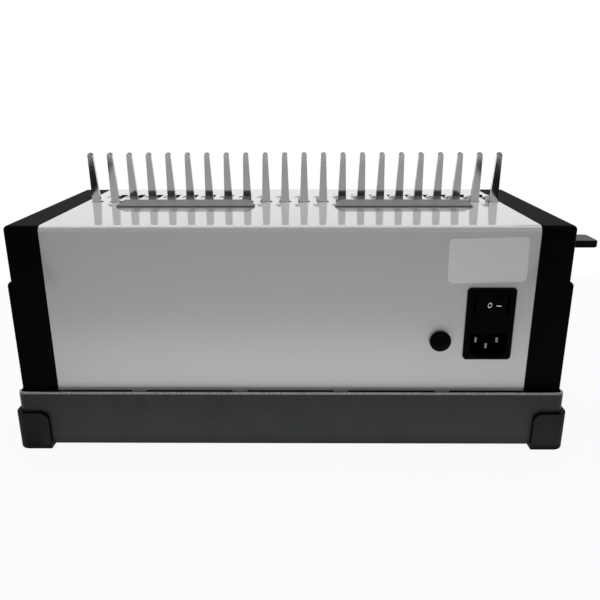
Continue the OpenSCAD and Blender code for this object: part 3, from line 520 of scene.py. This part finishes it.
def plate(bm, outline, place, thickness):
    """A flat plate: outline in millimetres, laid on the plane that place gives."""
    low = [bm.verts.new(place(x, y, 0)) for x, y in outline]
    high = [bm.verts.new(place(x, y, thickness)) for x, y in outline]
    bm.faces.new(high)
    bm.faces.new(low[::-1])
    for k in range(len(low)):
        j = (k + 1) % len(low)
        bm.faces.new((low[k], low[j], high[j], high[k]))
    bmesh.ops.recalc_face_normals(bm, faces=bm.faces)


# The bare rating label. Its middle is given to the right of the panel's and up from the table.
LABEL_MIDDLE = (125, 130.8)
LABEL_SIZE = (50, 29)
LABEL_CORNER = 3
LABEL_T = 0.12
LABEL_GAP = 0.02
LABEL_TILT = math.radians(1.4)


def label(bm):
    """The label, stuck on a little askew."""
    c, s = math.cos(LABEL_TILT), math.sin(LABEL_TILT)
    right, up = LABEL_MIDDLE

    def place(x, y, z):
        return at(right + c * x - s * y, up + s * x + c * y, z + LABEL_GAP)

    plate(bm, rounded_outline(*LABEL_SIZE, LABEL_CORNER), place, LABEL_T)


piece("label", label, "chassis", STICKER)


# Edge radii of the nodes whose edges catch the light
EDGE_RADII = {
    "comb_fingers": 0.2,
    "comb_rests": 0.3,
    "puller_hooks": 0.2,
    "corner_feet": 0.6,
    "power_rocker": 0.5,
    "inlet_pins": 0.5,
    "lever_arm": 0.4,
    "paper_table": 0.4,
    "chip_drawer": 0.5,
    "edge_guide": 0.5,
}
# Height above which a finger's upward faces are those of its tip, and the radius of that edge
TIP_Z = 148
TIP_ROUND = 0.9
# Angle between two faces, in radians, past which a finger's edge is rounded
FINGER_EDGE = 0.8


def at_tip(face):
    """Whether a face is part of the edge round a finger's tip."""
    return face.normal.z > 0.2 and face.calc_center_median().z > TIP_Z * MM


def round_tips(bm):
    """Rounds the fingers' tips over more than their sides, by the edges' weights."""
    weight = bm.edges.layers.float.new("bevel_weight_edge")
    for edge in bm.edges:
        if edge.calc_face_angle(0) > FINGER_EDGE:
            tip = sum(at_tip(face) for face in edge.link_faces) == 1
            edge[weight] = 1.0 if tip else EDGE_RADII["comb_fingers"] / TIP_ROUND


def gets_guard_shade(face):
    """Whether a face of a corner guard is one of its edges or its inner side, which take painted
    shade.
    """
    middle, normal = face.calc_center_median(), face.normal
    inward_x = normal.x if middle.x < 0 else -normal.x
    inward_y = normal.y if middle.y < 0 else -normal.y
    return abs(normal.z) > 0.3 or max(inward_x, inward_y) > 0.05


for name, edge_radius in EDGE_RADII.items():
    if name not in ("comb_fingers", "corner_feet"):
        softened(name, edge_radius)
# The guards' edges and inner sides take the darker gloss black as painted shade.
guard_shade = (MATERIALS["gloss_black_plastic"], gets_guard_shade)
softened("corner_feet", EDGE_RADII["corner_feet"], second=guard_shade)
fingers = softened("comb_fingers", TIP_ROUND, 3, second=(dark_tip_edge(), at_tip), shape=round_tips)
fingers.modifiers["rounding"].limit_method = "WEIGHT"
fingers.modifiers["rounding"].material = 1


def toned(node, second, chosen):
    """A copy of a CAD node in two materials, which stands for the node. The faces that get the
    second are those that chosen(normal, middle) picks, with the middle in millimetres."""
    thing = bpy.data.objects.new("toned_" + node, frame["nodes"][node].data.copy())
    bpy.context.collection.objects.link(thing)
    thing.data.materials.clear()
    thing.data.materials.append(node_material(node))
    thing.data.materials.append(second)
    for polygon in thing.data.polygons:
        polygon.material_index = int(chosen(polygon.normal, polygon.center / MM))
    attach(thing, BODIES[node])
    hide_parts(node)


# Where the deck's holes have their inner faces, painted dark as shade: heights, reach to each
# side, and rearmost place
SLOTS_Z = (151.2, 152.5)
SLOTS_REACH = 156
SLOTS_REAR_Y = 95


def gets_slot_shade(normal, middle):
    """Whether a face is the sheet's edge inside a hole of the deck, which gets the painted shade.
    """
    in_sheet = SLOTS_Z[0] < middle.z < SLOTS_Z[1] and abs(normal.z) < 0.3
    return in_sheet and abs(ROW_X - middle.x) < SLOTS_REACH and middle.y < SLOTS_REAR_Y


# Height of the tray's wall where its rounded rim, which has a painted highlight, begins
RIM_Z = 39


def gets_rim_highlight(normal, middle):
    """Whether a face is part of the tray's rounded rim, which gets the painted highlight."""
    return middle.z > RIM_Z and normal.z > 0.12


toned("top_housing", slot_wall_shade(), gets_slot_shade)
toned("base_tray", rim_highlight_coat(), gets_rim_highlight)


# The rocker turns about an upright axis, ROCKER_X to the right and ROCKER_OUT out of the panel.
# Its face is a shallow V, ROCKER_DEEP in front of that axis, each half tilted by ROCKER_TILT.
ROCKER_X = 129.3
ROCKER_OUT = -3.0
ROCKER_DEEP = 5.0
ROCKER_TILT = math.radians(7)

# The marks on it: their height, their distances from its middle line, and how they lie on the face
MARKS_Z = 101.6
OFF_MARK = 0.6
ON_MARK = 5.0
MARK_LIFT = 0.03
RING_POINTS = 28
RING_UP = 1.75
RING_ACROSS = 1.3
RING_SLANT = 0.16
# The ring's inner outline as shares of its outer one, up and across
RING_HOLE = (0.62, 0.753)
# The bar's length, width and corner radius
BAR = (3.2, 0.6, 0.25)


def on_rocker(across, up, out, half):
    """A point on the rocker's face: millimetres across it from its middle line, up, and out of it.
    half is 1 for the pressed half and -1 for the raised one."""
    along = half * across
    face = ROCKER_DEEP + abs(across) * math.tan(ROCKER_TILT) + out
    c, s = math.cos(ROCKER_TILT), math.sin(ROCKER_TILT)
    right, out_of_panel = ROCKER_X - (along * c + face * s), ROCKER_OUT - along * s + face * c
    return at(right, MARKS_Z + up, out_of_panel)


def off_mark(bm):
    """A slanted ring, the mark for off."""

    def ring(tall, wide):
        """Vertices of an outline, tall and wide as shares of the outer one."""
        points = []
        for k in range(RING_POINTS):
            angle = 2 * math.pi * k / RING_POINTS
            up = RING_UP * tall * math.sin(angle)
            across = OFF_MARK - RING_ACROSS * wide * math.cos(angle) - up * RING_SLANT
            points.append(bm.verts.new(on_rocker(across, up, MARK_LIFT, 1)))
        return points

    outer, inner = ring(1.0, 1.0), ring(*RING_HOLE)
    for k in range(RING_POINTS):
        j = (k + 1) % RING_POINTS
        bm.faces.new((outer[k], outer[j], inner[j], inner[k]))
    bmesh.ops.recalc_face_normals(bm, faces=bm.faces)


def on_mark(bm):
    """A bar, the mark for on."""
    points = [on_rocker(ON_MARK + x, y, MARK_LIFT, -1) for x, y in rounded_outline(*BAR)]
    bm.faces.new([bm.verts.new(point) for point in points])
    bmesh.ops.recalc_face_normals(bm, faces=bm.faces)


piece("rocker_off_mark", off_mark, "rocker", PRINT)
piece("rocker_on_mark", on_mark, "rocker", PRINT)


# ---- Stage: floor, lights and camera ----

FLOOR_R = 6.0
# The floor shows its shadow up to SHADOW_R and is plain white from FADE_R. Nearer, it glows white
# by these shares for the camera and for reflections, and is lit for the rest.
SHADOW_R = 0.24
FADE_R = 0.5
FLOOR_GLOW = 0.93
FLOOR_SHEEN = 0.9

# The white sheet that the object stands on, as only reflections show it: it dims behind the object
# to SHEET_FAR between the places SHEET_DIMS, and from SHEET_FRONT on it is dark beyond its sides,
# which splay out and lie SHEET_SIDE from its middle line.
SHEET_MIDDLE = 0.022
SHEET_SPLAY = 0.5
SHEET_SIDE = (0.036, 0.046)
SHEET_FRONT = (0.505, 0.525)
SHEET_DIMS = (0.28, 0.42)
SHEET_FAR = 0.62
SHEET_DARK = 0.02


def floor_material():
    """Pale floor that holds the object's shadow and fades to white further out."""
    n = Nodes("floor")
    tone = n.shade(n.noise(3, 2), grey(0.92), grey(0.94))
    n.set(Base_Color=tone, Roughness=0.8, Specular_IOR_Level=0.2)
    where = n.add("ShaderNodeTexCoord").outputs["Object"]
    away = n.add("ShaderNodeVectorMath", {0: where}, operation="LENGTH").outputs["Value"]
    x, y, _ = n.add("ShaderNodeSeparateXYZ", {0: where}).outputs
    path = n.add("ShaderNodeLightPath").outputs
    camera, glossy = path["Is Camera Ray"], path["Is Glossy Ray"]

    def step(value, start, end, low, high):
        """A number that goes smoothly from low to high between start and end."""
        return n.map_range(value, start, end, low, high, "SMOOTHSTEP")

    # How much of the floor is white light: all of it far out, and a fixed share nearer
    seen = n.maths("MAXIMUM", n.maths("MAXIMUM", camera, glossy), path["Is Transmission Ray"])
    beyond = n.maths("MULTIPLY", step(away, SHADOW_R, FADE_R, 0.0, 1.0), seen)
    near = n.maths("MULTIPLY_ADD", glossy, FLOOR_SHEEN, n.maths("MULTIPLY", camera, FLOOR_GLOW))
    share = n.maths("MAXIMUM", beyond, near)

    # How bright that light is, which only reflections change
    across = n.maths("ABSOLUTE", n.maths("SUBTRACT", x, SHEET_MIDDLE))
    past_side = n.maths("SUBTRACT", across, n.maths("MULTIPLY", y, SHEET_SPLAY))
    within_sides = step(past_side, *SHEET_SIDE, 1.0, SHEET_DARK)
    in_sheet = n.maths("MAXIMUM", within_sides, step(y, *SHEET_FRONT, 1.0, 0.0))
    reflected = n.maths("MULTIPLY", in_sheet, step(y, *SHEET_DIMS, 1.0, SHEET_FAR))
    glow = n.maths("MULTIPLY_ADD", glossy, reflected, n.maths("SUBTRACT", 1.0, glossy))
    white = n.add("ShaderNodeEmission", {"Color": (1, 1, 1, 1), "Strength": glow}).outputs[0]
    mix = n.add("ShaderNodeMixShader", {0: share, 1: n.shader.outputs[0], 2: white}).outputs[0]
    n.tree.links.new(mix, n.output.inputs[0])
    return n.material


def make_floor():
    """The floor, a part of the stage and not of the object."""
    bpy.ops.mesh.primitive_circle_add(vertices=64, radius=FLOOR_R, fill_type="NGON")
    floor = bpy.context.object
    floor.name = "floor"
    floor.data.materials.append(floor_material())


# Strength of the light that comes from all sides
AMBIENT = 0.07


def make_world():
    """A white room for the camera and for reflections, and a faint light for all else."""
    world = bpy.data.worlds.new("studio")
    bpy.context.scene.world = world
    world.use_nodes = True
    nodes, links = world.node_tree.nodes, world.node_tree.links
    ambient = nodes["Background"]
    ambient.inputs["Color"].default_value = (1, 1, 1, 1)
    ambient.inputs["Strength"].default_value = AMBIENT
    white = nodes.new("ShaderNodeBackground")
    white.inputs["Strength"].default_value = 1.0
    white.inputs["Color"].default_value = (1, 1, 1, 1)
    path = nodes.new("ShaderNodeLightPath")
    mix = nodes.new("ShaderNodeMixShader")
    seen = path.outputs["Is Camera Ray"]
    for ray in ("Is Glossy Ray", "Is Transmission Ray"):
        both = nodes.new("ShaderNodeMath")
        both.operation = "MAXIMUM"
        links.new(seen, both.inputs[0])
        links.new(path.outputs[ray], both.inputs[1])
        seen = both.outputs[0]
    links.new(seen, mix.inputs[0])
    links.new(ambient.outputs[0], mix.inputs[1])
    links.new(white.outputs[0], mix.inputs[2])
    links.new(mix.outputs[0], nodes["World Output"].inputs[0])


def softbox(name, place, target, size, power):
    """A soft rectangular lamp at place, turned to target."""
    lamp = bpy.data.lights.new(name, "AREA")
    lamp.energy = power
    lamp.shape = "RECTANGLE"
    lamp.size, lamp.size_y = size
    box = bpy.data.objects.new(name, lamp)
    bpy.context.collection.objects.link(box)
    box.location = place
    box.rotation_euler = (Vector(target) - Vector(place)).to_track_quat("-Z", "Y").to_euler()
    return box


def make_lights():
    """Soft lamps above, in front and behind, and the light that the table throws on the rear."""
    softbox("top_box", (0.05, 0.0, 1.3), (0.05, 0.0, 0), (1.6, 0.7), 7)
    softbox("front_box", (0.1, -1.1, 1.3), (0, 0, 0.1), (1.6, 0.9), 7)
    rear = softbox("rear_box", (0.0, 1.6, 0.5), (0.0, 0.1, 0.08), (1.4, 0.6), 5.6)
    glow = softbox("table_glow", (0.0, 0.17, 0.002), (0.0, 0.17, 1), (0.36, 0.07), 0.17)
    glow.visible_camera = glow.visible_glossy = rear.visible_glossy = False


# The photograph's camera, behind the machine: metres, radians and millimetres of lens
CAMERA_PLACE = (0.00180, 0.51073, 0.23043)
CAMERA_PITCH = 0.3155
CAMERA_ROLL = -0.002
CAMERA_YAW = 0.0083
CAMERA_LENS = 37.9


def make_camera():
    """The camera, at the photograph's viewing angle."""
    lens = bpy.data.cameras.new("camera")
    lens.lens = CAMERA_LENS
    lens.sensor_width = 36
    lens.clip_start = 0.01
    camera = bpy.data.objects.new("camera", lens)
    bpy.context.collection.objects.link(camera)
    camera.location = CAMERA_PLACE
    turn = Euler((math.pi / 2 - CAMERA_PITCH, 0, math.pi + CAMERA_YAW)).to_matrix()
    camera.rotation_euler = (turn @ Matrix.Rotation(CAMERA_ROLL, 3, "Z")).to_euler()
    bpy.context.scene.camera = camera


make_floor()
make_world()
make_lights()
make_camera()
bpy.context.scene.view_settings.view_transform = "Standard"
